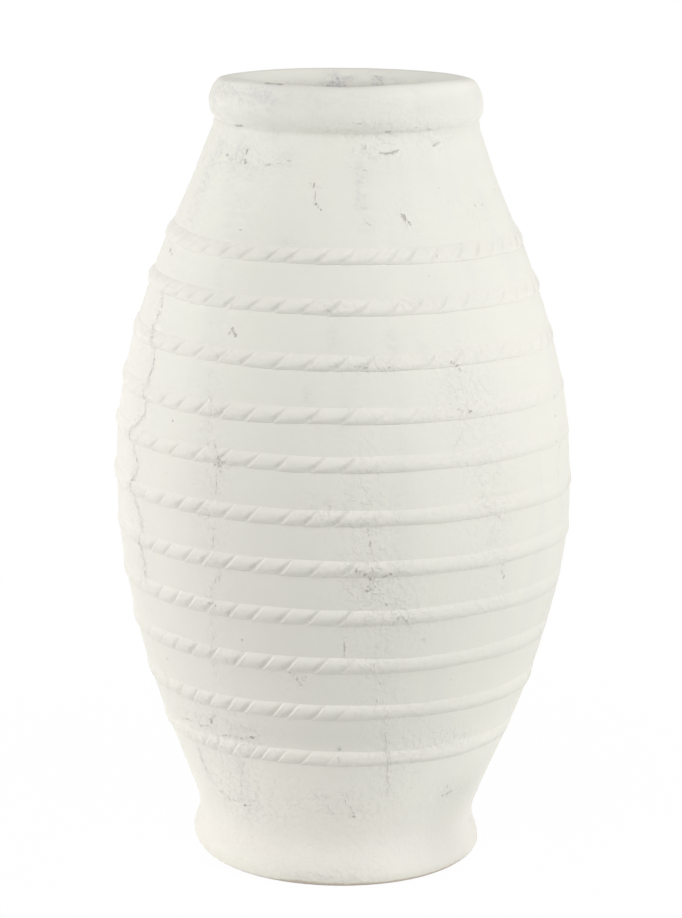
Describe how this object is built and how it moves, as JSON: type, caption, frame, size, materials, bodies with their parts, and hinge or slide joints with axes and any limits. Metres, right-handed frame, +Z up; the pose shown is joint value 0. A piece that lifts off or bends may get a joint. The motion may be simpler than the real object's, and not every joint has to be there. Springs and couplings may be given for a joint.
{
  "type": "terracotta jar",
  "caption": "Tall barrel-shaped terracotta jar with a rolled lip, a rounded foot and twisted clay ropes laid round its body.",
  "frame": {"origin": "on the jar's axis, on the ground under the foot", "axes": "+Z up the axis towards the mouth; the pictured side faces -Y; +X is to the right of that side"},
  "size_m": [0.3516, 0.3516, 0.6041],
  "materials": {
    "bare_clay": "bare fired terracotta, matte",
    "worn_limewash": "limewash worn thin over terracotta, matte",
    "limewash": "brushed limewash over terracotta, matte, hairline cracks and pits",
    "rope_limewash": "brushed limewash over terracotta, matte"
  },
  "bodies": {
    "root": {"floor_slab": "bare_clay", "foot_ring": "worn_limewash", "lower_wall": "limewash", "upper_wall": "limewash", "lip_coil": "limewash", "rope_band_01": "rope_limewash", "rope_band_02": "rope_limewash", "rope_band_03": "rope_limewash", "rope_band_04": "rope_limewash", "rope_band_05": "rope_limewash", "rope_band_06": "rope_limewash", "rope_band_07": "rope_limewash", "rope_band_08": "rope_limewash", "rope_band_09": "rope_limewash", "rope_band_10": "rope_limewash", "rope_band_11": "rope_limewash"}
  },
  "joints": []
}
